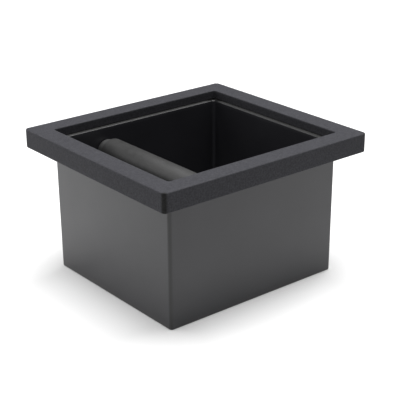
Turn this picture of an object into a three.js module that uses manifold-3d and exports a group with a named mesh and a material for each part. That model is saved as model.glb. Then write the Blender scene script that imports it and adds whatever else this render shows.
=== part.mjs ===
// A drop-in espresso knock box: a tub hung from a thick frame, with a rubber-sleeved bar that lifts out.
// Millimetres, +Z up. The origin is the centre of the base, the front is -Y and the bar runs front to back.
import * as THREE from "three";
import { mergeVertices } from "three/addons/utils/BufferGeometryUtils.js";
import Module from "manifold-3d";

// Overall size.
const WIDTH = 175;
const DEPTH = 160.5;
const HEIGHT = 104.2;

// Frame: a ring that rests on the worktop.
const FRAME_HEIGHT = 13.6;
const FRAME_RIM = 15;
const FRAME_CORNER = 3.2;
const FRAME_EDGE = 0.9;
const OPENING_CORNER = 1.5;

// Tub: outer size at its top edge, thinner towards the base by the moulding draft.
const LEDGE_DROP = 6.6;
const OVERHANG = 14.8;
const TUB_WALL = 3.5;
const TUB_FLOOR = 3;
const TUB_CORNER = 2.5;
const TUB_INNER_CORNER = 2.4;
const TUB_BASE_EDGE = 1.2;
const TUB_FLOOR_EDGE = 2;
const DRAFT = 0.45;
const FLANGE_REACH = 9;
const FLANGE_THICKNESS = 3.2;
const FLANGE_CORNER = 8;

// Knock bar.
const BAR_X = -32;
const BAR_Z = HEIGHT - 23.4;
const SLEEVE_RADIUS = 10.5;
const SLEEVE_LENGTH = 108;
const SLEEVE_EDGE = 0.8;
const TUBE_RADIUS = 8;
const TUBE_WALL = 1.5;
const AXLE_RADIUS = 4;
const AXLE_CHAMFER = 0.5;
const PLUG_HEAD = 0.6;
const PLUG_HEAD_RADIUS = 7.6;
const PLUG_DEPTH = 14;
const PLUG_LEAD = 0.8;
const GROMMET_RADIUS = 8.2;
const GROMMET_LENGTH = 6.6;
const GROMMET_EDGE = 0.8;

// Cradles that hold the grommets, moulded on the front and back walls.
const CRADLE_DEPTH = 5;
const CRADLE_RIB = 2.4;
const CRADLE_ROUNDING = 1;
const CRADLE_TOP = BAR_Z + 1.5;

// Screws that hold the frame to the flange, from below.
const SCREW_RADIUS = 1.45;
const SCREW_LENGTH = 7.6;
const SCREW_TIP = 1.2;
const HEAD_RADIUS = 3;
const HEAD_HEIGHT = 2.2;
const HEAD_DOME = 1.2;
const RECESS_LENGTH = 3.4;
const RECESS_WIDTH = 0.7;
const RECESS_DEPTH = 1.2;
const PILOT_SPARE = 0.4;
const SCREW_X = 58;
const SCREW_Y = 50;

// Gaps.
const FIT = 0.1;
const SLIDE = 0.2;
const REBATE_GAP = 0.3;

const wasm = await Module();
wasm.setup();

// A three.js geometry as a manifold-3d solid.
function solid(geometry) {
  const bare = geometry.clone();
  bare.deleteAttribute("normal");
  bare.deleteAttribute("uv");
  const merged = mergeVertices(bare, 1e-4);
  const vertProperties = merged.attributes.position.array;
  const triVerts = new Uint32Array(merged.index.array);
  return new wasm.Manifold(new wasm.Mesh({ numProp: 3, vertProperties, triVerts }));
}

// A manifold-3d solid as a flat-shaded three.js geometry.
function geometryOf(body) {
  const { vertProperties, triVerts } = body.getMesh();
  const geometry = new THREE.BufferGeometry();
  geometry.setAttribute("position", new THREE.BufferAttribute(vertProperties, 3));
  geometry.setIndex(new THREE.BufferAttribute(triVerts, 1));
  const flat = geometry.toNonIndexed();
  flat.computeVertexNormals();
  return flat;
}

function roundedRectangle(width, depth, radius, Outline = THREE.Shape) {
  const x = width / 2 - radius;
  const y = depth / 2 - radius;
  const outline = new Outline();
  outline.absarc(x, y, radius, 0, Math.PI / 2);
  outline.absarc(-x, y, radius, Math.PI / 2, Math.PI);
  outline.absarc(-x, -y, radius, Math.PI, 1.5 * Math.PI);
  outline.absarc(x, -y, radius, 1.5 * Math.PI, 2 * Math.PI);
  outline.closePath();
  return outline;
}

// A shape extruded up from bottom to top, with its top and bottom edges rounded inside its outline.
function prism(shape, bottom, top, edge = 0, curveSegments = 5) {
  const geometry = new THREE.ExtrudeGeometry(shape, {
    depth: top - bottom - 2 * edge,
    bevelEnabled: edge > 0,
    bevelThickness: edge,
    bevelSize: edge,
    bevelOffset: -edge,
    bevelSegments: 3,
    curveSegments,
  });
  return geometry.translate(0, 0, bottom + edge);
}

// Draws the sides in towards the base: no change at the tub's top edge, DRAFT at the base.
function withDraft(geometry) {
  const position = geometry.attributes.position;
  for (let i = 0; i < position.count; i++) {
    const inward = (DRAFT * (TUB_TOP - position.getZ(i))) / TUB_TOP;
    const x = position.getX(i);
    const y = position.getY(i);
    position.setX(i, x - Math.sign(x) * inward);
    position.setY(i, y - Math.sign(y) * inward);
  }
  return geometry;
}

// A piece turned about +Y, from a profile of [radius, position along the axis].
function turned(profile, segments = 40) {
  const points = profile.map(([radius, along]) => new THREE.Vector2(radius, along));
  return new THREE.LatheGeometry(points, segments);
}

// The same for a hollow piece, whose profile closes on itself.
function turnedRing(profile) {
  return turned([...profile, profile[0]]);
}

// A rounded edge of a turned piece, as profile points about the edge's centre: from the end face to the
// outside at the lower end, and from the outside to the end face at the upper end.
const LOWER_EDGE = -Math.PI / 2;
const UPPER_EDGE = 0;

function roundedEdge(radius, along, size, start, steps = 3) {
  return Array.from({ length: steps + 1 }, (_, i) => {
    const angle = start + (Math.PI / 2) * (i / steps);
    return [radius + size * Math.cos(angle), along + size * Math.sin(angle)];
  });
}

const TUB_TOP = HEIGHT - LEDGE_DROP;
const TUB_WIDTH = WIDTH - 2 * OVERHANG;
const TUB_DEPTH = DEPTH - 2 * OVERHANG;
const FRAME_BOTTOM = HEIGHT - FRAME_HEIGHT;
const FLANGE_BOTTOM = TUB_TOP - FLANGE_THICKNESS;
const SCREW_INSET = (FLANGE_REACH + FIT) / 2;
const TUBE_END = SLEEVE_LENGTH / 2 - 3 * FIT;
const PLUG_SEAT = TUBE_END + FIT;
const AXLE_END = PLUG_SEAT + PLUG_HEAD + GROMMET_LENGTH + FIT;

function screwPlaces() {
  const sideX = TUB_WIDTH / 2 + SCREW_INSET;
  const sideY = TUB_DEPTH / 2 + SCREW_INSET;
  const places = [];
  for (const side of [-1, 1]) {
    for (const step of [-1, 0, 1]) {
      places.push([step * SCREW_X, side * sideY], [side * sideX, step * SCREW_Y]);
    }
  }
  return places;
}

function verticalHole([x, y], radius, bottom, top) {
  const hole = new THREE.CylinderGeometry(radius, radius, top - bottom, 16);
  return solid(hole.rotateX(Math.PI / 2).translate(x, y, (bottom + top) / 2));
}

// One U-shaped cradle: two ribs standing on the floor, joined under the grommet. It is drawn facing
// front and stands on the inside of the back wall.
function cradle() {
  const slot = GROMMET_RADIUS + SLIDE;
  const outer = slot + CRADLE_RIB;
  const web = BAR_Z - slot - CRADLE_RIB;
  const tip = CRADLE_TOP - CRADLE_ROUNDING;
  const foot = TUB_FLOOR / 2;
  const shape = new THREE.Shape();
  shape.moveTo(-outer, foot);
  shape.lineTo(-outer, tip);
  shape.absarc(-outer + CRADLE_ROUNDING, tip, CRADLE_ROUNDING, Math.PI, Math.PI / 2, true);
  shape.lineTo(-slot, CRADLE_TOP);
  shape.lineTo(-slot, BAR_Z);
  shape.absarc(0, BAR_Z, slot, Math.PI, 2 * Math.PI);
  shape.lineTo(slot, CRADLE_TOP);
  shape.absarc(outer - CRADLE_ROUNDING, tip, CRADLE_ROUNDING, Math.PI / 2, 0, true);
  shape.lineTo(outer, foot);
  shape.lineTo(slot, foot);
  shape.lineTo(slot, web - slot / 2);
  shape.absellipse(0, web - slot / 2, slot, slot / 2, 0, Math.PI);
  shape.lineTo(-slot, foot);
  shape.closePath();
  const intoWall = TUB_WALL / 2;
  const block = new THREE.ExtrudeGeometry(shape, {
    depth: CRADLE_DEPTH + intoWall,
    bevelEnabled: false,
    curveSegments: 14,
  });
  block.rotateX(Math.PI / 2);
  return block.translate(BAR_X, TUB_DEPTH / 2 - TUB_WALL + intoWall, 0);
}

// An outline parallel to the tub's outer walls at its top edge, reach further out.
function tubOutline(reach, corner) {
  return roundedRectangle(TUB_WIDTH + 2 * reach, TUB_DEPTH + 2 * reach, corner);
}

function tub() {
  const above = TUB_TOP + 20;
  const outline = tubOutline(0, TUB_CORNER);
  const inside = tubOutline(-TUB_WALL, TUB_INNER_CORNER);
  const flange = tubOutline(FLANGE_REACH, FLANGE_CORNER);
  const lid = new THREE.BoxGeometry(2 * WIDTH, 2 * DEPTH, above - TUB_TOP + 1);
  lid.translate(0, 0, TUB_TOP + (above - TUB_TOP + 1) / 2);
  let body = solid(withDraft(prism(outline, 0, above, TUB_BASE_EDGE)));
  body = body.add(solid(prism(flange, FLANGE_BOTTOM, TUB_TOP)));
  body = body.subtract(solid(withDraft(prism(inside, TUB_FLOOR, above, TUB_FLOOR_EDGE))));
  body = body.add(solid(cradle()));
  body = body.add(solid(cradle().rotateZ(Math.PI).translate(2 * BAR_X, 0, 0)));
  body = body.subtract(solid(lid));
  for (const spot of screwPlaces()) {
    body = body.subtract(verticalHole(spot, SCREW_RADIUS + SLIDE, FLANGE_BOTTOM - 1, TUB_TOP + 1));
  }
  return geometryOf(body);
}

function rimFrame() {
  const ring = roundedRectangle(WIDTH, DEPTH, FRAME_CORNER);
  const opening = [WIDTH - 2 * FRAME_RIM, DEPTH - 2 * FRAME_RIM, OPENING_CORNER];
  ring.holes.push(roundedRectangle(...opening, THREE.Path));
  const rebate = tubOutline(FLANGE_REACH + REBATE_GAP, FLANGE_CORNER);
  let body = solid(prism(ring, FRAME_BOTTOM, HEIGHT, FRAME_EDGE));
  body = body.subtract(solid(prism(rebate, FRAME_BOTTOM - 1, TUB_TOP + FIT)));
  const pilotEnd = FLANGE_BOTTOM + SCREW_LENGTH + PILOT_SPARE;
  for (const spot of screwPlaces()) {
    body = body.subtract(verticalHole(spot, SCREW_RADIUS + FIT, TUB_TOP - 1, pilotEnd));
  }
  return geometryOf(body);
}

// A pan-head screw with its tip up and a cross recess in its head, seated under the flange.
function frameScrew() {
  const dome = roundedEdge(HEAD_RADIUS - HEAD_DOME, HEAD_DOME - HEAD_HEIGHT, HEAD_DOME, LOWER_EDGE);
  const profile = [
    [0, -HEAD_HEIGHT],
    ...dome,
    [HEAD_RADIUS, 0],
    [SCREW_RADIUS, 0],
    [SCREW_RADIUS, SCREW_LENGTH - SCREW_TIP],
    [SCREW_RADIUS / 3, SCREW_LENGTH],
    [0, SCREW_LENGTH],
  ];
  let body = solid(turned(profile, 16).rotateX(Math.PI / 2));
  for (const angle of [0, Math.PI / 2]) {
    const slot = new THREE.BoxGeometry(RECESS_LENGTH, RECESS_WIDTH, 2 * RECESS_DEPTH);
    body = body.subtract(solid(slot.rotateZ(angle).translate(0, 0, -HEAD_HEIGHT)));
  }
  return geometryOf(body);
}

function barSleeve() {
  const half = SLEEVE_LENGTH / 2;
  const bore = TUBE_RADIUS + FIT;
  const edgeRadius = SLEEVE_RADIUS - SLEEVE_EDGE;
  const edgePlace = half - SLEEVE_EDGE;
  return turnedRing([
    [bore, -half],
    ...roundedEdge(edgeRadius, -edgePlace, SLEEVE_EDGE, LOWER_EDGE, 4),
    ...roundedEdge(edgeRadius, edgePlace, SLEEVE_EDGE, UPPER_EDGE, 4),
    [bore, half],
  ]);
}

function barTube() {
  const half = TUBE_END;
  const bore = TUBE_RADIUS - TUBE_WALL;
  return turnedRing([
    [bore, -half],
    [TUBE_RADIUS, -half],
    [TUBE_RADIUS, half],
    [bore, half],
  ]);
}

// A plug for the +Y end of the tube, with its head against the tube and its axle outwards.
function barPlug() {
  const inner = PLUG_SEAT - PLUG_DEPTH;
  const stem = TUBE_RADIUS - TUBE_WALL - FIT;
  return turned([
    [0, inner],
    [stem - PLUG_LEAD, inner],
    [stem, inner + 2 * PLUG_LEAD],
    [stem, PLUG_SEAT],
    [PLUG_HEAD_RADIUS, PLUG_SEAT],
    [PLUG_HEAD_RADIUS, PLUG_SEAT + PLUG_HEAD],
    [AXLE_RADIUS, PLUG_SEAT + PLUG_HEAD],
    [AXLE_RADIUS, AXLE_END - AXLE_CHAMFER],
    [AXLE_RADIUS - AXLE_CHAMFER, AXLE_END],
    [0, AXLE_END],
  ]);
}

// A rubber ring on the axle of that plug.
function grommet() {
  const near = PLUG_SEAT + PLUG_HEAD + FIT;
  const far = near + GROMMET_LENGTH;
  const bore = AXLE_RADIUS + FIT;
  const edgeRadius = GROMMET_RADIUS - GROMMET_EDGE;
  return turnedRing([
    [bore, near],
    ...roundedEdge(edgeRadius, near + GROMMET_EDGE, GROMMET_EDGE, LOWER_EDGE),
    ...roundedEdge(edgeRadius, far - GROMMET_EDGE, GROMMET_EDGE, UPPER_EDGE),
    [bore, far],
  ]);
}

function material(color, roughness, metalness = 0) {
  return new THREE.MeshStandardMaterial({ color, roughness, metalness });
}

const TUB_PLASTIC = material(0x2a2a2c, 0.38);
const FRAME_PLASTIC = material(0x303135, 0.7);
const RUBBER = material(0x2c2c2e, 0.8);
const GROMMET_RUBBER = material(0x1c1c1e, 0.75);
const STEEL = material(0xb4b6b8, 0.3, 1);
const ZINC = material(0x9a9c9e, 0.4, 1);
const NYLON = material(0x232325, 0.5);

const knockBox = new THREE.Group();

function place(name, geometry, finish, parent = knockBox) {
  const mesh = new THREE.Mesh(geometry, finish);
  mesh.name = name;
  parent.add(mesh);
  return mesh;
}

place("tub", tub(), TUB_PLASTIC);
place("rim_frame", rimFrame(), FRAME_PLASTIC);

screwPlaces().forEach(([x, y], i) => {
  const screw = place("frame_screw_" + String(i + 1).padStart(2, "0"), frameScrew(), ZINC);
  screw.position.set(x, y, FLANGE_BOTTOM - FIT / 2);
});

const bar = new THREE.Group();
bar.position.set(BAR_X, 0, BAR_Z);
knockBox.add(bar);

place("bar_tube", barTube(), STEEL, bar);
place("bar_sleeve", barSleeve(), RUBBER, bar);

for (const [end, turn] of [["back", 0], ["front", Math.PI]]) {
  const half = new THREE.Group();
  half.rotation.z = turn;
  bar.add(half);
  place("bar_plug_" + end, barPlug(), NYLON, half);
  place("grommet_" + end, grommet(), GROMMET_RUBBER, half);
}

export default knockBox;
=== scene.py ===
"""Looks of a drop-in espresso knock box: tub, thick frame, and a rubber-sleeved bar in grommets.

Metres, +Z up, front -Y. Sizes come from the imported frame, and from the named values below.
"""
import math

import bmesh
import bpy
from mathutils import Matrix, Vector


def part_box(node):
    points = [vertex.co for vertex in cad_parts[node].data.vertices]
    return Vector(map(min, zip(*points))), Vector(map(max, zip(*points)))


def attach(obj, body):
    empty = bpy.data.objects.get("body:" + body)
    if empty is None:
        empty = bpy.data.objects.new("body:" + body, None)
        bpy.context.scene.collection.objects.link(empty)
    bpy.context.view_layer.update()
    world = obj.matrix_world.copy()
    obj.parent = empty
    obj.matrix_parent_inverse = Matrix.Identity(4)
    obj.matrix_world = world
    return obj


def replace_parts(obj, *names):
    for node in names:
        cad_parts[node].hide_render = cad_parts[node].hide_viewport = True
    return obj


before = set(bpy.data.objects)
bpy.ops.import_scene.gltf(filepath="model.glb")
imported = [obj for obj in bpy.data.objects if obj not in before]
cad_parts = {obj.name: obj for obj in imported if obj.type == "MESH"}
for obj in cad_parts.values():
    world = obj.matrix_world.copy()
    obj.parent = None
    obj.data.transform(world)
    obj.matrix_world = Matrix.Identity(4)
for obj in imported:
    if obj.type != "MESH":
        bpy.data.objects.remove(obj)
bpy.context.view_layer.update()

MM = 0.001

# ---------------------------------------------------------------- sizes

FRAME_LOW, FRAME_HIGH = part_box("rim_frame")
TUB_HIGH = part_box("tub")[1]
SLEEVE_LOW, SLEEVE_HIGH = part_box("bar_sleeve")
TUBE_LOW, TUBE_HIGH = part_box("bar_tube")
GROMMET_LOW, GROMMET_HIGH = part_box("grommet_back")
PLUG_LOW, PLUG_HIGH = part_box("bar_plug_back")

FRAME_RIM = 15 * MM
FRAME_CORNER = 3.2 * MM
FRAME_EDGE = 0.9 * MM
OPENING_CORNER = 1.5 * MM
OPENING_EDGE = 0.7 * MM

OVERHANG = 14.8 * MM
TUB_WALL = 3.5 * MM
TUB_FLOOR = 3 * MM
TUB_CORNER = 2.5 * MM
TUB_INNER_CORNER = 2.4 * MM
TUB_BASE_EDGE = 1.2 * MM
TUB_FLOOR_EDGE = 2 * MM
TUB_LIP = 0.5 * MM
DRAFT = 0.45 * MM
FLANGE_REACH = 9 * MM
FLANGE_THICKNESS = 3.2 * MM
FLANGE_CORNER = 8 * MM
REBATE_GAP = 0.3 * MM
FIT = 0.1 * MM

TUB_TOP = TUB_HIGH.z
TUB_HALF_X = FRAME_HIGH.x - OVERHANG
TUB_HALF_Y = FRAME_HIGH.y - OVERHANG
INNER_HALF_X = TUB_HALF_X - TUB_WALL
INNER_HALF_Y = TUB_HALF_Y - TUB_WALL

BAR_X = (SLEEVE_LOW.x + SLEEVE_HIGH.x) / 2
BAR_Z = (SLEEVE_LOW.z + SLEEVE_HIGH.z) / 2
SLEEVE_RADIUS = (SLEEVE_HIGH.x - SLEEVE_LOW.x) / 2
SLEEVE_EDGE = 0.8 * MM
TUBE_RADIUS = (TUBE_HIGH.x - TUBE_LOW.x) / 2
TUBE_WALL = 1.5 * MM
TUBE_CHAMFER = 0.3 * MM
AXLE_RADIUS = 4 * MM
AXLE_CHAMFER = 0.5 * MM
PLUG_HEAD = 0.6 * MM
PLUG_HEAD_RADIUS = (PLUG_HIGH.x - PLUG_LOW.x) / 2
PLUG_SEAT = TUBE_HIGH.y + FIT
PLUG_TAPER = 0.8 * MM
GROOVES = 3
GROOVE_START = 3 * MM
GROOVE_PITCH = 3.2 * MM
GROOVE_STEP = 0.1 * MM
GROOVE_FLAT = 1 * MM
GROOVE_LENGTH = 1.6 * MM
GROOVE_DEPTH = 0.3 * MM
GROMMET_RADIUS = (GROMMET_HIGH.x - GROMMET_LOW.x) / 2
GROMMET_EDGE = 0.8 * MM

CRADLE_GAP = 0.2 * MM
CRADLE_SLOT = GROMMET_RADIUS + CRADLE_GAP
CRADLE_RIB = 2.4 * MM
CRADLE_DEPTH = 5 * MM
CRADLE_TOP = BAR_Z + 1.5 * MM
CRADLE_EDGE = 0.5 * MM
CRADLE_EDGE_STEPS = 3
SEAT_STEPS = 32
ARCH_STEPS = 24
BEVELLED_FROM = math.radians(30)

# Steps in a quarter turn of an upright corner or a rounded edge, and in a whole turned piece.
CORNER_STEPS = 10
EDGE_STEPS = 8
FRAME_EDGE_STEPS = 6
OPENING_EDGE_STEPS = 5
LEDGE_STEPS = 4
LIP_STEPS = 3
BAR_EDGE_STEPS = 6
TURNED_STEPS = 96

# ---------------------------------------------------------------- camera

CAMERA_AZIMUTH = math.radians(-38.85)
CAMERA_ELEVATION = math.radians(22.21)
CAMERA_ROLL = math.radians(-0.44)
CAMERA_DISTANCE = 0.802
CENTRE = Vector((0, 0, 0.045))
AIM_RIGHT = 3.7 * MM
AIM_UP = 6.9 * MM
NEAREST, FURTHEST = 0.05, 50

# Blender keeps these two in millimetres.
CAMERA_LENS = 101.65
SENSOR_WIDTH = 36


def add_camera():
    a, e = CAMERA_AZIMUTH, CAMERA_ELEVATION
    back = Vector((math.sin(a) * math.cos(e), -math.cos(a) * math.cos(e), math.sin(e)))
    level_right = Vector((0, 0, 1)).cross(back).normalized()
    level_up = back.cross(level_right)
    right = level_right * math.cos(CAMERA_ROLL) + level_up * math.sin(CAMERA_ROLL)
    up = back.cross(right)
    data = bpy.data.cameras.new("camera")
    data.sensor_width = SENSOR_WIDTH
    data.lens = CAMERA_LENS
    data.clip_start, data.clip_end = NEAREST, FURTHEST
    camera = bpy.data.objects.new("camera", data)
    bpy.context.scene.collection.objects.link(camera)
    turn = Matrix((right, up, back)).transposed().to_4x4()
    place = CENTRE + right * AIM_RIGHT + up * AIM_UP + back * CAMERA_DISTANCE
    camera.matrix_world = Matrix.Translation(place) @ turn
    bpy.context.scene.camera = camera


# ---------------------------------------------------------------- mesh helpers


def add_piece(name, mesh, body, material, sharp=35):
    """A finished mesh as a piece that rides on a body and takes its finish from a slot."""
    for polygon in mesh.polygons:
        polygon.use_smooth = True
    mesh.set_sharp_from_angle(angle=math.radians(sharp))
    mesh.materials.append(material)
    piece = bpy.data.objects.new(name, mesh)
    bpy.context.scene.collection.objects.link(piece)
    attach(piece, body)
    return piece


def rounded_rectangle(half_x, half_y, radius, z):
    """A closed ring of points, anticlockwise from the +X side."""
    points = []
    corners = ((1, 1, 0), (-1, 1, 90), (-1, -1, 180), (1, -1, 270))
    for side_x, side_y, start in corners:
        for step in range(CORNER_STEPS + 1):
            angle = math.radians(start + 90 * step / CORNER_STEPS)
            x = side_x * (half_x - radius) + radius * math.cos(angle)
            y = side_y * (half_y - radius) + radius * math.sin(angle)
            points.append(Vector((x, y, z)))
    return points


def arc(centre_across, centre_z, radius, start, end, steps):
    """Points (across, z) along an arc, from one angle in degrees to the other."""
    points = []
    for step in range(steps + 1):
        angle = math.radians(start + (end - start) * step / steps)
        points.append((centre_across + radius * math.cos(angle), centre_z + radius * math.sin(angle)))
    return points


def loft(name, rings, loop_closes=False, caps=False):
    """A mesh of quads between neighbouring rings of equal length, wound to face outwards."""
    bm = bmesh.new()
    rows = [[bm.verts.new(point) for point in ring] for ring in rings]
    count = len(rows[0])
    pairs = list(zip(rows, rows[1:]))
    if loop_closes:
        pairs.append((rows[-1], rows[0]))
    for low, high in pairs:
        for i in range(count):
            j = (i + 1) % count
            bm.faces.new((low[i], low[j], high[j], high[i]))
    if caps:
        bm.faces.new(list(reversed(rows[0])))
        bm.faces.new(rows[-1])
    bmesh.ops.recalc_face_normals(bm, faces=bm.faces)
    mesh = bpy.data.meshes.new(name)
    bm.to_mesh(mesh)
    bm.free()
    return mesh


def in_fixed_order(bm, name):
    """The mesh with its points and faces sorted, because a bevel's own order varies from run to run."""
    points = sorted(tuple(vert.co) for vert in bm.verts)
    place = {point: i for i, point in enumerate(points)}
    faces = sorted([place[tuple(vert.co)] for vert in face.verts] for face in bm.faces)
    mesh = bpy.data.meshes.new(name)
    mesh.from_pydata(points, [], faces)
    return mesh


def turned(name, profile, closed=True):
    """A piece turned about the bar's axis, from (radius, y) points.

    A closed profile joins its end to its start. An open one starts and ends on the axis.
    """
    bm = bmesh.new()
    rows = []
    for radius, y in profile:
        if radius == 0:
            rows.append([bm.verts.new((BAR_X, y, BAR_Z))])
            continue
        row = []
        for step in range(TURNED_STEPS):
            angle = 2 * math.pi * step / TURNED_STEPS
            x, z = BAR_X + radius * math.cos(angle), BAR_Z + radius * math.sin(angle)
            row.append(bm.verts.new((x, y, z)))
        rows.append(row)
    pairs = list(zip(rows, rows[1:]))
    if closed:
        pairs.append((rows[-1], rows[0]))
    for low, high in pairs:
        for i in range(TURNED_STEPS):
            j = (i + 1) % TURNED_STEPS
            if len(low) == 1:
                bm.faces.new((low[0], high[i], high[j]))
            elif len(high) == 1:
                bm.faces.new((low[i], high[0], low[j]))
            else:
                bm.faces.new((low[i], high[i], high[j], low[j]))
    bmesh.ops.recalc_face_normals(bm, faces=bm.faces)
    mesh = bpy.data.meshes.new(name)
    bm.to_mesh(mesh)
    bm.free()
    return mesh


def mirrored_in_y(mesh, name):
    """The same piece for the other end of the bar."""
    other = mesh.copy()
    other.name = name
    other.transform(Matrix.Scale(-1, 4, Vector((0, 1, 0))))
    other.flip_normals()
    return other


# ---------------------------------------------------------------- materials


class Nodes:
    """A short way to write a procedural material."""

    def __init__(self, name):
        self.material = bpy.data.materials.new(name)
        self.material.use_nodes = True
        self.tree = self.material.node_tree
        self.shader = self.tree.nodes["Principled BSDF"]
        self.place = self.add("ShaderNodeTexCoord").outputs["Object"]

    def add(self, kind, **settings):
        node = self.tree.nodes.new(kind)
        for key, value in settings.items():
            setattr(node, key, value)
        return node

    def link(self, source, target):
        self.tree.links.new(source, target)

    def set(self, **values):
        """Shader inputs that are the same all over, with _ for the spaces in their names."""
        for key, value in values.items():
            self.shader.inputs[key.replace("_", " ")].default_value = value

    def colour(self, source):
        self.link(source, self.shader.inputs["Base Color"])

    def roughness(self, source, low, high):
        """Roughness from low to high as the source varies."""
        self.link(self.ramp(source, low, high), self.shader.inputs["Roughness"])

    def noise(self, scale, detail=3, roughness=0.5, stretch=(1, 1, 1)):
        mapping = self.add("ShaderNodeMapping")
        mapping.inputs["Scale"].default_value = stretch
        self.link(self.place, mapping.inputs["Vector"])
        node = self.add("ShaderNodeTexNoise")
        node.inputs["Scale"].default_value = scale
        node.inputs["Detail"].default_value = detail
        node.inputs["Roughness"].default_value = roughness
        self.link(mapping.outputs["Vector"], node.inputs["Vector"])
        return node.outputs["Fac"]

    def cells(self, scale):
        node = self.add("ShaderNodeTexVoronoi")
        node.inputs["Scale"].default_value = scale
        self.link(self.place, node.inputs["Vector"])
        return node.outputs["Distance"]

    def height(self):
        """How high a point is above the base, in metres."""
        node = self.add("ShaderNodeSeparateXYZ")
        self.link(self.place, node.inputs["Vector"])
        return node.outputs["Z"]

    def beyond(self, axis, start, end):
        """0 to 1 from start to end, both measured from the middle, either way along X or Y."""
        place = self.add("ShaderNodeSeparateXYZ")
        self.link(self.place, place.inputs["Vector"])
        size = self.add("ShaderNodeMath", operation="ABSOLUTE")
        self.link(place.outputs[axis], size.inputs[0])
        return self.ramp(size.outputs["Value"], 0.0, 1.0, start, end)

    def product(self, first, second):
        node = self.add("ShaderNodeMath", operation="MULTIPLY")
        self.link(first, node.inputs[0])
        self.link(second, node.inputs[1])
        return node.outputs["Value"]

    def at_corners(self, half_x, half_y, radius):
        """1 along the middle of a box's four upright corners, and 0 on its flat sides."""
        along_x = self.beyond("X", half_x - radius, half_x - radius / 2)
        along_y = self.beyond("Y", half_y - radius, half_y - radius / 2)
        return self.product(along_x, along_y)

    def in_corners(self, half_x, half_y, radius):
        """The same for a hollow's inside corners, so it is 0 a little way into the walls as well."""
        within_x = self.beyond("X", half_x + radius / 4, half_x + radius / 5)
        within_y = self.beyond("Y", half_y + radius / 4, half_y + radius / 5)
        return self.product(self.at_corners(half_x, half_y, radius), self.product(within_x, within_y))

    def mixed(self, share, first, second):
        """The first colour, and the second where share is 1."""
        node = self.add("ShaderNodeMix", data_type="RGBA")
        self.link(share, node.inputs["Factor"])
        self.link(first, node.inputs["A"])
        self.link(second, node.inputs["B"])
        return node.outputs["Result"]

    def ramp(self, source, low, high, start=0.3, end=0.7):
        """source, from start to end, as a number or colour from low to high."""
        colour = isinstance(low, tuple)
        if colour:
            node = self.add("ShaderNodeValToRGB")
            first, last = node.color_ramp.elements
            first.position, last.position = start, end
            first.color, last.color = (*low, 1), (*high, 1)
            self.link(source, node.inputs["Fac"])
            return node.outputs["Color"]
        node = self.add("ShaderNodeMapRange")
        for key, value in (("From Min", start), ("From Max", end), ("To Min", low), ("To Max", high)):
            node.inputs[key].default_value = value
        self.link(source, node.inputs["Value"])
        return node.outputs["Result"]

    def bump(self, *layers):
        """Layers of (height source, distance in metres), one on top of the other."""
        normal = None
        for source, distance in layers:
            node = self.add("ShaderNodeBump")
            node.inputs["Distance"].default_value = distance
            self.link(source, node.inputs["Height"])
            if normal is not None:
                self.link(normal, node.inputs["Normal"])
            normal = node.outputs["Normal"]
        self.link(normal, self.shader.inputs["Normal"])


def grey(value, blue=0.0):
    return (value, value, value + blue)


# Each material's base colours, as its darkest and lightest patches.
TUB_WALLS = grey(0.0190, 0.003), grey(0.0230, 0.0035)
# Painted shade for the tub's outer upright corners, and for the ledge near its corners.
TUB_CORNER_SHADE = grey(0.006), grey(0.009)
# A painted highlight up the tub's inside upright corners.
TUB_CORNER_HIGHLIGHT = grey(0.032, 0.005), grey(0.036, 0.0055)
# A painted highlight on the tub's ledge.
TUB_LEDGE_HIGHLIGHT = grey(0.030), grey(0.038)
FRAME_SIDES = grey(0.032, 0.004), grey(0.046, 0.0055)
# Painted shade for the frame's outer upright corners.
FRAME_CORNER_SHADE = grey(0.012), grey(0.022)
SLEEVE_BLACK = grey(0.006), grey(0.009)
GROMMET_BLACK = grey(0.016), grey(0.022)
STEEL = grey(0.42), grey(0.52)
NYLON_BLACK = grey(0.014), grey(0.018)
ZINC = grey(0.36), grey(0.5)

# Heights between which the painted highlight up the inside corners fades out, and the ledge's painted
# highlight begins.
CORNER_HIGHLIGHT_FADE = TUB_TOP - 3 * MM, TUB_TOP - 1 * MM
LEDGE_HIGHLIGHT_FADE = TUB_TOP - 0.3 * MM, TUB_TOP - 0.1 * MM
# How far from the opening's corners the ledge takes painted shade in place of its painted highlight.
LEDGE_SHADE_CORNER = 7 * MM


def tub_plastic():
    """Satin near-black, with painted shade on the outer upright corners and near the ledge's corners, and
    painted highlights on the ledge and up the inside corners.
    """
    n = Nodes("tub_plastic")
    patches = n.noise(28, detail=2)
    walls = n.ramp(patches, *TUB_WALLS)
    corner_shade = n.ramp(patches, *TUB_CORNER_SHADE)
    corner_highlight = n.ramp(patches, *TUB_CORNER_HIGHLIGHT)
    # Painted highlight up the inside corners, fading out below the top.
    corner_highlight_share = n.in_corners(INNER_HALF_X, INNER_HALF_Y, TUB_INNER_CORNER)
    corner_highlight_share = n.product(corner_highlight_share, n.ramp(n.height(), 1.0, 0.0, *CORNER_HIGHLIGHT_FADE))
    body = n.mixed(corner_highlight_share, walls, corner_highlight)
    # Painted shade on the outer upright corners.
    body = n.mixed(n.at_corners(TUB_HALF_X, TUB_HALF_Y, TUB_CORNER), body, corner_shade)
    # Painted highlight on the ledge, with painted shade near the corners of the opening.
    ledge = n.ramp(n.noise(500, detail=2), *TUB_LEDGE_HIGHLIGHT)
    ledge = n.mixed(n.at_corners(INNER_HALF_X, INNER_HALF_Y, LEDGE_SHADE_CORNER), ledge, corner_shade)
    n.colour(n.mixed(n.ramp(n.height(), 0.0, 1.0, *LEDGE_HIGHLIGHT_FADE), body, ledge))
    n.roughness(n.noise(90, detail=2), 0.28, 0.32)
    n.bump((n.noise(420, detail=2), 0.012 * MM), (n.noise(1500, detail=2), 0.003 * MM))
    return n.material


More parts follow.
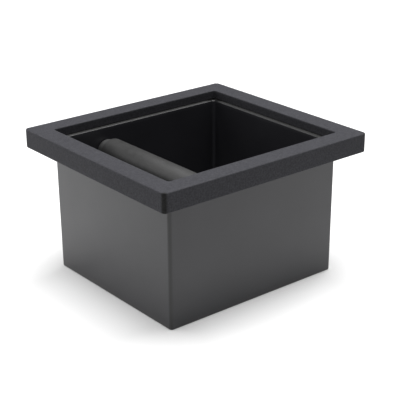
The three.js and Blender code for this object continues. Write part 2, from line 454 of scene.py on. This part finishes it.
def frame_plastic():
    """Matt dark grey with a fine moulded grain, and painted shade on its outer upright corners."""
    n = Nodes("frame_plastic")
    mottle = n.noise(850, detail=2, roughness=0.6)
    sides = n.ramp(mottle, *FRAME_SIDES, start=0.35, end=0.65)
    corner_shade = n.ramp(mottle, *FRAME_CORNER_SHADE)
    # Painted shade on the outer upright corners.
    n.colour(n.mixed(n.at_corners(FRAME_HIGH.x, FRAME_HIGH.y, FRAME_CORNER), sides, corner_shade))
    n.roughness(n.noise(900), 0.50, 0.62)
    n.set(Specular_IOR_Level=0.06)
    n.bump((n.cells(1100), 0.07 * MM), (n.noise(3800, detail=2), 0.02 * MM))
    return n.material


def sleeve_rubber():
    """Dark rubber with faint patches and marks drawn out along the bar."""
    n = Nodes("sleeve_rubber")
    n.colour(n.ramp(n.noise(60, detail=4, stretch=(1, 0.3, 1)), *SLEEVE_BLACK))
    n.roughness(n.noise(220), 0.50, 0.60)
    n.set(Specular_IOR_Level=0.78)
    marks = n.noise(900, stretch=(1, 0.25, 1))
    n.bump((marks, 0.02 * MM), (n.noise(4200, detail=1), 0.01 * MM))
    return n.material


def grommet_rubber():
    n = Nodes("grommet_rubber")
    n.colour(n.ramp(n.noise(300), *GROMMET_BLACK))
    n.roughness(n.noise(500, detail=2), 0.42, 0.52)
    n.set(Specular_IOR_Level=0.9)
    n.bump((n.noise(3000, detail=1), 0.01 * MM))
    return n.material


def drawn_steel():
    """Steel with fine drawing lines along the tube."""
    n = Nodes("drawn_steel")
    lines = n.noise(1500, detail=4, stretch=(1, 0.02, 1))
    n.colour(n.ramp(lines, *STEEL))
    n.roughness(lines, 0.25, 0.38)
    n.set(Metallic=1.0)
    n.bump((lines, 0.008 * MM))
    return n.material


def black_nylon():
    n = Nodes("black_nylon")
    n.colour(n.ramp(n.noise(400), *NYLON_BLACK))
    n.roughness(n.noise(700, detail=2), 0.38, 0.48)
    n.bump((n.noise(2500, detail=1), 0.008 * MM))
    return n.material


def zinc_plate():
    """Zinc with a fine spangle."""
    n = Nodes("zinc_plate")
    n.colour(n.ramp(n.cells(1400), *ZINC, start=0.0, end=0.6))
    n.roughness(n.noise(1800), 0.28, 0.42)
    n.set(Metallic=1.0)
    n.bump((n.noise(6000, detail=1), 0.006 * MM))
    return n.material


# ---------------------------------------------------------------- tub

# The flat base and floor have a ring just inside their rounded edge, and one nearer the middle.
FLAT_MARGIN = 1 * MM
MIDDLE_REACH = 30 * MM
MIDDLE_CORNER = 2 * MM
BASE_CORNER = 1.5 * MM
FLOOR_CORNER = 1 * MM

# The flat walls have a ring near each end, which keeps their shading flat.
ABOVE_BASE = 6 * MM
BELOW_FLANGE = 2 * MM
ABOVE_FLOOR = 6 * MM
BELOW_LEDGE = 3 * MM


def draft_inset(z):
    """How far the tub's sides have come in at this height."""
    return DRAFT * (TUB_TOP - z) / TUB_TOP


def tub_ring(reach, z, corner):
    """A ring parallel to the tub's outer walls, and reach further out than they are."""
    inset = draft_inset(z)
    return rounded_rectangle(TUB_HALF_X + reach - inset, TUB_HALF_Y + reach - inset, corner, z)


def edge_rings(points, corner):
    """(reach, z, corner) of the rings along a rounded edge. corner is its radius at reach 0."""
    return [(reach, z, corner + reach) for reach, z in points]


def tub_outside():
    edge, lip = TUB_BASE_EDGE, TUB_LIP
    under_flange = TUB_TOP - FLANGE_THICKNESS
    rings = [(-MIDDLE_REACH, 0, MIDDLE_CORNER), (-edge - FLAT_MARGIN, 0, BASE_CORNER)]
    rings += edge_rings(arc(-edge, edge, edge, -90, 0, EDGE_STEPS), TUB_CORNER)
    rings += [(0, z, TUB_CORNER) for z in (ABOVE_BASE, under_flange - BELOW_FLANGE)]
    return rings + edge_rings(arc(lip, under_flange - lip, lip, 180, 90, LIP_STEPS), TUB_CORNER)


def tub_flange():
    lip = TUB_LIP
    under_flange = TUB_TOP - FLANGE_THICKNESS
    corner = FLANGE_CORNER - FLANGE_REACH
    rings = [(FLANGE_REACH - lip, under_flange, FLANGE_CORNER - lip)]
    rings += edge_rings(arc(FLANGE_REACH - lip, under_flange + lip, lip, -90, 0, LIP_STEPS), corner)
    return rings + edge_rings(arc(FLANGE_REACH - lip, TUB_TOP - lip, lip, 0, 90, LIP_STEPS), corner)


def tub_ledge():
    lip = TUB_LIP
    rings = [(0, TUB_TOP, TUB_CORNER), (-TUB_WALL + 2 * lip, TUB_TOP, TUB_INNER_CORNER + 2 * lip)]
    rounded = arc(-TUB_WALL + lip, TUB_TOP - lip, lip, 90, 180, LEDGE_STEPS)
    return rings + edge_rings(rounded, TUB_INNER_CORNER + TUB_WALL)


def tub_inside():
    edge = TUB_FLOOR_EDGE
    heights = TUB_TOP - BELOW_LEDGE, TUB_FLOOR + ABOVE_FLOOR
    rings = [(-TUB_WALL, z, TUB_INNER_CORNER) for z in heights]
    rounded = arc(-TUB_WALL - edge, TUB_FLOOR + edge, edge, 0, -90, EDGE_STEPS)
    rings += edge_rings(rounded, TUB_INNER_CORNER + TUB_WALL)
    rings.append((-TUB_WALL - edge - FLAT_MARGIN, TUB_FLOOR, FLOOR_CORNER))
    return rings + [(-MIDDLE_REACH, TUB_FLOOR, MIDDLE_CORNER)]


def add_tub(material):
    """One skin, from the middle of the base out, up and over the flange and ledge, and down inside."""
    profile = tub_outside() + tub_flange() + tub_ledge() + tub_inside()
    mesh = loft("tub_shell", [tub_ring(*point) for point in profile], caps=True)
    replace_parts(add_piece("tub_shell", mesh, "box", material), "tub")


def cradle_outline():
    """The cradle seen from the front, as (x, z) points: two ribs, the round seat and the arch under it."""
    outer = CRADLE_SLOT + CRADLE_RIB
    foot = TUB_FLOOR / 2
    arch_foot = BAR_Z - outer - CRADLE_SLOT / 2
    points = [(-outer, foot), (-outer, CRADLE_TOP), (-CRADLE_SLOT, CRADLE_TOP)]
    points += arc(0, BAR_Z, CRADLE_SLOT, 180, 360, SEAT_STEPS)
    points += [(CRADLE_SLOT, CRADLE_TOP), (outer, CRADLE_TOP), (outer, foot), (CRADLE_SLOT, foot)]
    points += [(x, arch_foot + z / 2) for x, z in arc(0, 0, CRADLE_SLOT, 0, 180, ARCH_STEPS)]
    points.append((-CRADLE_SLOT, foot))
    return [(BAR_X + x, z) for x, z in points]


def add_cradle(name, side, material):
    """One U-shaped cradle on the inside of the front (-1) or back (+1) wall."""
    wall = side * INNER_HALF_Y
    into_wall = wall + side * TUB_WALL / 2
    face = wall - side * CRADLE_DEPTH
    bm = bmesh.new()
    near = [bm.verts.new((x, face, z)) for x, z in cradle_outline()]
    far = [bm.verts.new((x, into_wall, z)) for x, z in cradle_outline()]
    bm.faces.new(near)
    bm.faces.new(list(reversed(far)))
    for i in range(len(near)):
        j = (i + 1) % len(near)
        bm.faces.new((near[i], far[i], far[j], near[j]))
    bmesh.ops.recalc_face_normals(bm, faces=bm.faces)
    edges = [edge for edge in bm.edges if edge.calc_face_angle(0) > BEVELLED_FROM]
    rounding = {"offset": CRADLE_EDGE, "segments": CRADLE_EDGE_STEPS, "profile": 0.5}
    bmesh.ops.bevel(bm, geom=edges, affect="EDGES", clamp_overlap=True, **rounding)
    bmesh.ops.triangulate(bm, faces=[face for face in bm.faces if len(face.verts) > 4])
    mesh = in_fixed_order(bm, name)
    bm.free()
    add_piece(name, mesh, "box", material)


# ---------------------------------------------------------------- frame

REBATE_EDGE = 0.4 * MM
SIDE_MARGIN = 3 * MM
OPENING_MARGIN = 2 * MM


def frame_outside():
    """(across, z, corner) of the frame's outer and top faces, across measured in from its side."""
    low, high = FRAME_LOW.z, FRAME_HIGH.z
    edge = FRAME_EDGE
    lower_edge = arc(edge, low + edge, edge, 270, 180, FRAME_EDGE_STEPS)
    upper_edge = arc(edge, high - edge, edge, 180, 90, FRAME_EDGE_STEPS)
    rings = [(across, z, FRAME_CORNER - across) for across, z in lower_edge]
    rings += [(0, z, FRAME_CORNER) for z in (low + SIDE_MARGIN, high - SIDE_MARGIN)]
    rings += [(across, z, FRAME_CORNER - across) for across, z in upper_edge]
    return rings + [(2 * edge, high, FRAME_CORNER - edge)]


def frame_inside():
    """The same for the wall of its opening, and the rebate over the tub's flange."""
    high = FRAME_HIGH.z
    edge = OPENING_EDGE
    web = TUB_TOP + FIT
    rebate = OVERHANG - FLANGE_REACH - REBATE_GAP
    opening_edge = arc(FRAME_RIM - edge, high - edge, edge, 90, 0, OPENING_EDGE_STEPS)
    rings = [(FRAME_RIM - 2 * edge, high, OPENING_CORNER)]
    rings += [(across, z, OPENING_CORNER + FRAME_RIM - across) for across, z in opening_edge]
    rings += [(FRAME_RIM, z, OPENING_CORNER) for z in (high - OPENING_MARGIN, web + REBATE_EDGE)]
    rings.append((FRAME_RIM - REBATE_EDGE, web, OPENING_CORNER))
    return rings + [(rebate, web, FLANGE_CORNER), (rebate, FRAME_LOW.z, FLANGE_CORNER)]


def add_frame(material):
    rings = []
    for across, z, corner in frame_outside() + frame_inside():
        rings.append(rounded_rectangle(FRAME_HIGH.x - across, FRAME_HIGH.y - across, corner, z))
    mesh = loft("frame_ring", rings, loop_closes=True)
    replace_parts(add_piece("frame_ring", mesh, "box", material), "rim_frame")


# ---------------------------------------------------------------- bar


def rounded_ends(inner, outer, low, high, edge):
    """The closed profile of a sleeve or ring with rounded outer edges, as (radius, y)."""
    low_edge = arc(outer - edge, low + edge, edge, -90, 0, BAR_EDGE_STEPS)
    high_edge = arc(outer - edge, high - edge, edge, 0, 90, BAR_EDGE_STEPS)
    return [(inner, low)] + low_edge + high_edge + [(inner, high)]


def add_sleeve(material):
    bore = TUBE_RADIUS + FIT
    profile = rounded_ends(bore, SLEEVE_RADIUS, SLEEVE_LOW.y, SLEEVE_HIGH.y, SLEEVE_EDGE)
    mesh = turned("rubber_sleeve", profile)
    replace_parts(add_piece("rubber_sleeve", mesh, "bar", material), "bar_sleeve")


def add_tube(material):
    bore, chamfer = TUBE_RADIUS - TUBE_WALL, TUBE_CHAMFER
    profile = [
        (bore + chamfer, TUBE_LOW.y), (TUBE_RADIUS - chamfer, TUBE_LOW.y),
        (TUBE_RADIUS, TUBE_LOW.y + chamfer), (TUBE_RADIUS, TUBE_HIGH.y - chamfer),
        (TUBE_RADIUS - chamfer, TUBE_HIGH.y), (bore + chamfer, TUBE_HIGH.y),
        (bore, TUBE_HIGH.y - chamfer), (bore, TUBE_LOW.y + chamfer),
    ]
    mesh = turned("steel_tube", profile)
    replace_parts(add_piece("steel_tube", mesh, "bar", material, sharp=30), "bar_tube")


def plug_mesh(name):
    """The back plug: a tapered stem with grooves in the tube, a thin head, and a chamfered axle."""
    stem = TUBE_RADIUS - TUBE_WALL - FIT
    groove = stem - GROOVE_DEPTH
    head = PLUG_SEAT + PLUG_HEAD
    profile = [(0, PLUG_LOW.y), (stem - PLUG_TAPER, PLUG_LOW.y), (stem, PLUG_LOW.y + 2 * PLUG_TAPER)]
    for i in range(GROOVES):
        start = PLUG_LOW.y + GROOVE_START + GROOVE_PITCH * i
        profile += [(stem, start), (groove, start + GROOVE_STEP)]
        profile += [(groove, start + GROOVE_FLAT), (stem, start + GROOVE_LENGTH)]
    profile += [(stem, PLUG_SEAT), (PLUG_HEAD_RADIUS, PLUG_SEAT), (PLUG_HEAD_RADIUS, head)]
    profile += [(AXLE_RADIUS, head), (AXLE_RADIUS, PLUG_HIGH.y - AXLE_CHAMFER)]
    profile += [(AXLE_RADIUS - AXLE_CHAMFER, PLUG_HIGH.y), (0, PLUG_HIGH.y)]
    return turned(name, profile, closed=False)


def grommet_mesh(name):
    bore = AXLE_RADIUS + FIT
    profile = rounded_ends(bore, GROMMET_RADIUS, GROMMET_LOW.y, GROMMET_HIGH.y, GROMMET_EDGE)
    return turned(name, profile)


def add_bar_ends(plug_material, grommet_material):
    """The plugs and the grommets: each back one, and the same mirrored for the front."""
    for name, body, slot, material, make, node in (
        ("end_plug", "bar", "plug", plug_material, plug_mesh, "bar_plug"),
        ("rubber_grommet", "grommets", "grommet", grommet_material, grommet_mesh, "grommet"),
    ):
        back = make(name + "_back")
        front = mirrored_in_y(back, name + "_front")
        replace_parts(add_piece(name + "_back", back, body, material), node + "_back")
        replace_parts(add_piece(name + "_front", front, body, material), node + "_front")


# ---------------------------------------------------------------- screws

SCREW_RADIUS = 1.45 * MM
SCREW_TIP = 1.2 * MM
SCREW_HEAD_RADIUS = 3 * MM
SCREW_HEAD_HEIGHT = 2.2 * MM
SCREW_DOME = 1.2 * MM
DOME_STEPS = 8
SCREW_STEPS = 32
SCREW_TURN = math.radians(37)
TIP_SHARE = 0.3
THREAD_PITCH = 1.1 * MM
THREAD_DEPTH = 0.3 * MM
THREAD_LEVELS = 8
RECESS_LENGTH = 3.4 * MM
RECESS_WIDTH = 0.7 * MM
RECESS_DEPTH = 1.2 * MM
RECESS_NARROWING = 0.6


def around(radius, z):
    """A ring of points about the Z axis. radius may be a function of the angle's share of a turn."""
    ring = []
    for i in range(SCREW_STEPS):
        angle = 2 * math.pi * i / SCREW_STEPS
        reach = radius(i / SCREW_STEPS) if callable(radius) else radius
        ring.append(Vector((reach * math.cos(angle), reach * math.sin(angle), z)))
    return ring


def thread_ring(rise, length):
    """The shank's outline at a height above the head: a V thread that fades out towards the tip."""
    taper = min(1, TIP_SHARE + (1 - TIP_SHARE) * (length - rise) / SCREW_TIP)

    def reach(turn):
        phase = rise / THREAD_PITCH - turn
        depth = 1 - abs(2 * (phase - math.floor(phase)) - 1)
        return (SCREW_RADIUS - THREAD_DEPTH * depth) * taper

    return around(reach, rise)


def tapered_bar(name, length, width, height, narrowing):
    """A closed bar about the origin, narrower towards the top, which cuts one arm of the cross recess."""
    rings = []
    for z, share in ((-height, 1), (height, narrowing)):
        x, y = share * length / 2, share * width / 2
        rings.append([Vector((x, -y, z)), Vector((x, y, z)), Vector((-x, y, z)), Vector((-x, -y, z))])
    return loft(name, rings, caps=True)


def cut(mesh, cutters):
    """The mesh less each cutter, as a new mesh."""
    body = bpy.data.objects.new("cut_body", mesh)
    tools = [bpy.data.objects.new("cut_tool", cutter) for cutter in cutters]
    for thing in (body, *tools):
        bpy.context.scene.collection.objects.link(thing)
    for tool in tools:
        modifier = body.modifiers.new("cut", "BOOLEAN")
        modifier.operation = "DIFFERENCE"
        modifier.solver = "EXACT"
        modifier.object = tool
    solid = body.evaluated_get(bpy.context.evaluated_depsgraph_get())
    result = bpy.data.meshes.new_from_object(solid)
    for thing in (body, *tools):
        bpy.data.objects.remove(thing)
    return result


def screw_mesh(length):
    """A pan head with a cross recess, its seat at the origin, and a threaded shank above it."""
    low = -SCREW_HEAD_HEIGHT
    flat = SCREW_HEAD_RADIUS - SCREW_DOME
    dome = arc(flat, low + SCREW_DOME, SCREW_DOME, -90, 0, DOME_STEPS)
    rings = [around(radius, z) for radius, z in dome]
    rings += [around(SCREW_HEAD_RADIUS, 0), around(SCREW_RADIUS, 0)]
    levels = round(length / THREAD_PITCH * THREAD_LEVELS)
    rings += [thread_ring(length * level / levels, length) for level in range(1, levels + 1)]
    arms = []
    for turn in (0, 90):
        arm = tapered_bar("recess_arm", RECESS_LENGTH, RECESS_WIDTH, RECESS_DEPTH, RECESS_NARROWING)
        arm.transform(Matrix.Translation((0, 0, low)) @ Matrix.Rotation(math.radians(turn), 4, "Z"))
        arms.append(arm)
    return cut(loft("pan_screw", rings, caps=True), arms)


def add_screws(material):
    """One screw at each screw's place, each turned a little further than the last."""
    nodes = sorted(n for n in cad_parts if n.startswith("frame_screw_"))
    low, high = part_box(nodes[0])
    pattern = screw_mesh(high.z - low.z - SCREW_HEAD_HEIGHT)
    for i, node in enumerate(nodes):
        name = "pan_screw" + node[-3:]
        low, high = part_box(node)
        middle = (low + high) / 2
        mesh = pattern.copy()
        turn = Matrix.Rotation(SCREW_TURN * i, 4, "Z")
        mesh.transform(Matrix.Translation((middle.x, middle.y, low.z + SCREW_HEAD_HEIGHT)) @ turn)
        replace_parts(add_piece(name, mesh, "box", material), node)


# ---------------------------------------------------------------- floor and light

FLOOR_SIZE = 12
FLOOR_WHITE = 0.56
FLOOR_GLOW = 0.25
FLOOR_MOTTLE = 0.005
BACKDROP_RADIUS = 1.35
BACKDROP_STEPS = 96
WORLD_STRENGTH = 0.01
SOFTBOX_DISTANCE = 1.6

# Each softbox's name, azimuth and elevation in degrees, radiance, and width. Azimuth 0 is at the back,
# and 90 on the +X side.
SOFTBOXES = (
    ("overhead", 0, 90, 13.2, 1.1),
    ("low_behind", 0, 8, 12, 0.5),
    ("left_behind", -45, 20, 2.1, 1.1),
    ("beside", 90, 55, 3.9, 1.1),
)


def add_floor():
    mesh = bpy.data.meshes.new("floor")
    half = FLOOR_SIZE / 2
    corners = [(-half, -half, 0), (half, -half, 0), (half, half, 0), (-half, half, 0)]
    mesh.from_pydata(corners, [], [(0, 1, 2, 3)])
    floor = bpy.data.objects.new("floor", mesh)
    bpy.context.scene.collection.objects.link(floor)
    n = Nodes("floor_white")
    n.colour(n.ramp(n.noise(3, detail=2), grey(FLOOR_WHITE - FLOOR_MOTTLE), grey(FLOOR_WHITE)))
    n.set(Roughness=0.7, Specular_IOR_Level=0.2, Emission_Color=(1, 1, 1, 1), Emission_Strength=FLOOR_GLOW)
    mesh.materials.append(n.material)


def add_backdrop():
    """A pale dome that only the camera sees, so it lights nothing."""
    mesh = bpy.data.meshes.new("backdrop")
    bm = bmesh.new()
    steps = {"u_segments": BACKDROP_STEPS, "v_segments": BACKDROP_STEPS // 2}
    bmesh.ops.create_uvsphere(bm, radius=BACKDROP_RADIUS, **steps)
    bm.to_mesh(mesh)
    bm.free()
    backdrop = bpy.data.objects.new("backdrop", mesh)
    bpy.context.scene.collection.objects.link(backdrop)
    backdrop.visible_diffuse = False
    backdrop.visible_glossy = False
    backdrop.visible_transmission = False
    backdrop.visible_shadow = False
    n = Nodes("backdrop_white")
    n.set(Base_Color=(0, 0, 0, 1), Specular_IOR_Level=0, Emission_Color=(1, 1, 1, 1), Emission_Strength=1)
    n.material.cycles.emission_sampling = "NONE"
    mesh.materials.append(n.material)


def add_world():
    world = bpy.data.worlds.new("studio")
    world.use_nodes = True
    background = world.node_tree.nodes["Background"]
    background.inputs["Color"].default_value = (1, 1, 1, 1)
    background.inputs["Strength"].default_value = WORLD_STRENGTH
    bpy.context.scene.world = world


def add_softbox(name, azimuth, elevation, radiance, size):
    """A square softbox aimed at the middle of the tub."""
    data = bpy.data.lights.new(name, "AREA")
    data.shape = "SQUARE"
    data.size = size
    data.energy = radiance * math.pi * size ** 2
    a, e = math.radians(azimuth), math.radians(elevation)
    towards = Vector((math.sin(a) * math.cos(e), math.cos(a) * math.cos(e), math.sin(e)))
    light = bpy.data.objects.new(name, data)
    light.location = CENTRE + towards * SOFTBOX_DISTANCE
    light.rotation_mode = "QUATERNION"
    light.rotation_quaternion = towards.to_track_quat("Z", "Y")
    bpy.context.scene.collection.objects.link(light)


# ---------------------------------------------------------------- scene

add_camera()
tub_material = tub_plastic()
add_tub(tub_material)
add_cradle("cradle_front", -1, tub_material)
add_cradle("cradle_back", 1, tub_material)
add_frame(frame_plastic())
add_sleeve(sleeve_rubber())
add_tube(drawn_steel())
add_bar_ends(black_nylon(), grommet_rubber())
add_screws(zinc_plate())
add_floor()
add_backdrop()
add_world()
for softbox in SOFTBOXES:
    add_softbox(*softbox)

bpy.context.scene.view_settings.view_transform = "Standard"
